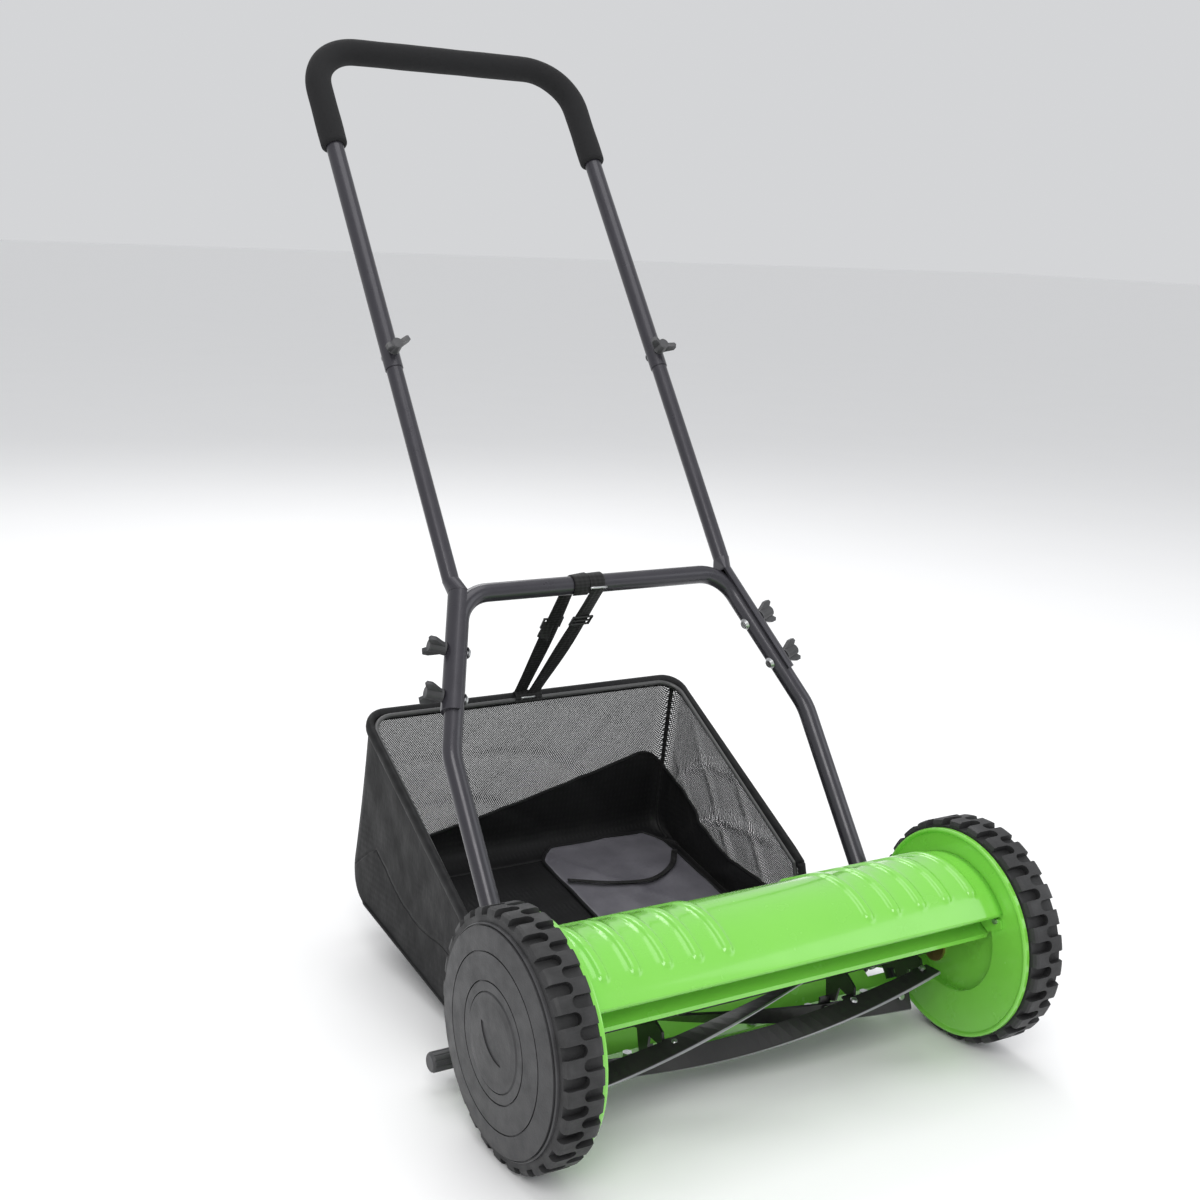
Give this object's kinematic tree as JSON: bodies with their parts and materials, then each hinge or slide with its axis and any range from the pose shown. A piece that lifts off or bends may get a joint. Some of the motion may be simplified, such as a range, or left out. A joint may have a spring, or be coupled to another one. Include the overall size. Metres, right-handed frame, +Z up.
{
  "type": "push reel mower",
  "caption": "Push reel mower with a geared cutting reel, ring-geared wheels, ground roller, folding-tube handle and a cloth grass catcher hung from the handle.",
  "frame": {"origin": "on the ground, midway between the wheels and directly under their axle", "axes": "+Z up, -Y the mowing direction, +X to the left of the person who pushes"},
  "size_m": [0.556, 0.8287, 0.9615],
  "materials": {
    "tyre_rubber": "moulded",
    "wheel_plastic": "matte",
    "gear_iron": "machined",
    "zinc_steel": "zinc plated",
    "black_enamel": "gloss enamel",
    "bronze": "bronze bush",
    "lime_enamel": "gloss enamel",
    "blade_steel": "ground",
    "grey_enamel": "satin",
    "roller_plastic": "satin",
    "knob_plastic": "matte",
    "tube_enamel": "gunmetal satin",
    "foam": "closed-cell foam",
    "bag_cloth": "woven, with mesh panels",
    "webbing": "woven webbing",
    "buckle_plastic": "satin",
    "wire": "satin"
  },
  "bodies": {
    "chassis": {"side_plate_left": "lime_enamel", "side_plate_right": "lime_enamel", "top_cover": "lime_enamel", "front_tie_bar": "lime_enamel", "bed_knife": "blade_steel", "knife_screws": "zinc_steel", "knife_carrier": "lime_enamel", "frame_screws": "zinc_steel", "axle_left": "zinc_steel", "axle_right": "zinc_steel", "axle_washers": "zinc_steel", "axle_clips": "zinc_steel", "reel_bearing_left": "bronze", "reel_bearing_right": "bronze", "pivot_pins": "zinc_steel", "pivot_spacers": "roller_plastic", "pivot_clips": "zinc_steel", "stop_pins": "zinc_steel", "bracket_pins": "zinc_steel", "height_bolts": "zinc_steel"},
    "drive_wheel_left": {"tyre_left": "tyre_rubber", "wheel_left": "wheel_plastic", "ring_gear_left": "gear_iron", "hub_cap_left": "wheel_plastic"},
    "drive_wheel_right": {"tyre_right": "tyre_rubber", "wheel_right": "wheel_plastic", "ring_gear_right": "gear_iron", "hub_cap_right": "wheel_plastic"},
    "drive_pinion_left": {"pinion_left": "gear_iron"},
    "drive_pinion_right": {"pinion_right": "gear_iron"},
    "cutting_reel": {"reel_shaft": "black_enamel", "reel_blades": "black_enamel", "reel_spiders": "black_enamel", "blade_rivets": "zinc_steel", "reel_clips": "zinc_steel"},
    "ratchet_pawl_left": {"pawl_left": "zinc_steel"},
    "ratchet_pawl_right": {"pawl_right": "zinc_steel"},
    "roller_carrier": {"roller_bracket_left": "grey_enamel", "roller_bracket_right": "grey_enamel", "roller_axle": "zinc_steel"},
    "rear_roller": {"ground_roller": "roller_plastic"},
    "adjuster_knob_left": {"height_knob_left": "knob_plastic"},
    "adjuster_knob_right": {"height_knob_right": "knob_plastic"},
    "handle": {"lower_handle": "tube_enamel", "mid_tube_left": "tube_enamel", "mid_tube_right": "tube_enamel", "upper_handle": "tube_enamel", "foam_grip": "foam", "handle_bolts": "zinc_steel"},
    "wing_knob_left_low": {"arm_knobs_left_low": "knob_plastic"},
    "wing_knob_left_high": {"arm_knobs_left_high": "knob_plastic"},
    "wing_knob_right_low": {"arm_knobs_right_low": "knob_plastic"},
    "wing_knob_right_high": {"arm_knobs_right_high": "knob_plastic"},
    "wing_nut_left": {"joint_knob_left": "knob_plastic"},
    "wing_nut_right": {"joint_knob_right": "knob_plastic"},
    "catcher": {"catcher_bag": "bag_cloth", "catcher_frame": "wire", "catcher_straps": "webbing", "strap_buckles": "buckle_plastic", "catcher_hooks": "wire"}
  },
  "joints": [
    {"name": "wheel_left_spin", "type": "hinge", "parent": "chassis", "child": "drive_wheel_left", "pos_m": [0, 0, 0.11], "axis": [1, 0, 0], "continuous": true},
    {"name": "wheel_right_spin", "type": "hinge", "parent": "chassis", "child": "drive_wheel_right", "pos_m": [0, 0, 0.11], "axis": [1, 0, 0], "continuous": true},
    {"name": "pinion_left_spin", "type": "hinge", "parent": "chassis", "child": "drive_pinion_left", "pos_m": [0, 0.02687, 0.08313], "axis": [1, 0, 0], "continuous": true},
    {"name": "pinion_right_spin", "type": "hinge", "parent": "chassis", "child": "drive_pinion_right", "pos_m": [0, 0.02687, 0.08313], "axis": [1, 0, 0], "continuous": true},
    {"name": "reel_spin", "type": "hinge", "parent": "chassis", "child": "cutting_reel", "pos_m": [0, 0.02687, 0.08313], "axis": [1, 0, 0], "continuous": true},
    {"name": "pawl_left_slide", "type": "slide", "parent": "cutting_reel", "child": "ratchet_pawl_left", "axis": [0, 1, 0], "range_m": [-0.002, 0.002]},
    {"name": "pawl_right_slide", "type": "slide", "parent": "cutting_reel", "child": "ratchet_pawl_right", "axis": [0, 1, 0], "range_m": [-0.002, 0.002]},
    {"name": "roller_height", "type": "hinge", "parent": "chassis", "child": "roller_carrier", "pos_m": [0, 0.092, 0.052], "axis": [1, 0, 0], "range_deg": [-12, 12]},
    {"name": "roller_spin", "type": "hinge", "parent": "roller_carrier", "child": "rear_roller", "pos_m": [0, 0.138, 0.018], "axis": [1, 0, 0], "continuous": true},
    {"name": "height_knob_left_turn", "type": "hinge", "parent": "chassis", "child": "adjuster_knob_left", "pos_m": [0, 0.126, 0.03], "axis": [1, 0, 0], "continuous": true},
    {"name": "height_knob_right_turn", "type": "hinge", "parent": "chassis", "child": "adjuster_knob_right", "pos_m": [0, 0.126, 0.03], "axis": [1, 0, 0], "continuous": true},
    {"name": "handle_float", "type": "hinge", "parent": "chassis", "child": "handle", "pos_m": [0, 0.06, 0.0603], "axis": [1, 0, 0], "range_deg": [0, 16]},
    {"name": "arm_knob_left_low_turn", "type": "hinge", "parent": "handle", "child": "wing_knob_left_low", "pos_m": [0.19023, 0.25338, 0.32647], "axis": [0.9489, 0.1856, 0.2554], "continuous": true},
    {"name": "arm_knob_left_high_turn", "type": "hinge", "parent": "handle", "child": "wing_knob_left_high", "pos_m": [0.17473, 0.28077, 0.36417], "axis": [0.9489, 0.1856, 0.2554], "continuous": true},
    {"name": "joint_knob_left_turn", "type": "hinge", "parent": "handle", "child": "wing_nut_left", "pos_m": [0.162, 0.47498, 0.63147], "axis": [0, -0.809, 0.5878], "continuous": true},
    {"name": "arm_knob_right_low_turn", "type": "hinge", "parent": "handle", "child": "wing_knob_right_low", "pos_m": [-0.19023, 0.25338, 0.32647], "axis": [-0.9489, 0.1856, 0.2554], "continuous": true},
    {"name": "arm_knob_right_high_turn", "type": "hinge", "parent": "handle", "child": "wing_knob_right_high", "pos_m": [-0.17473, 0.28077, 0.36417], "axis": [-0.9489, 0.1856, 0.2554], "continuous": true},
    {"name": "joint_knob_right_turn", "type": "hinge", "parent": "handle", "child": "wing_nut_right", "pos_m": [-0.162, 0.47498, 0.63147], "axis": [0, -0.809, 0.5878], "continuous": true},
    {"name": "catcher_swing", "type": "hinge", "parent": "handle", "child": "catcher", "pos_m": [0, 0.3151, 0.41141], "axis": [1, 0, 0], "range_deg": [0, 35]}
  ],
  "couplings": [
    {"joint": "pinion_left_spin", "follows": "wheel_left_spin", "ratio": 4.8},
    {"joint": "reel_spin", "follows": "wheel_left_spin", "ratio": 4.8},
    {"joint": "pinion_right_spin", "follows": "wheel_right_spin", "ratio": 4.8}
  ]
}
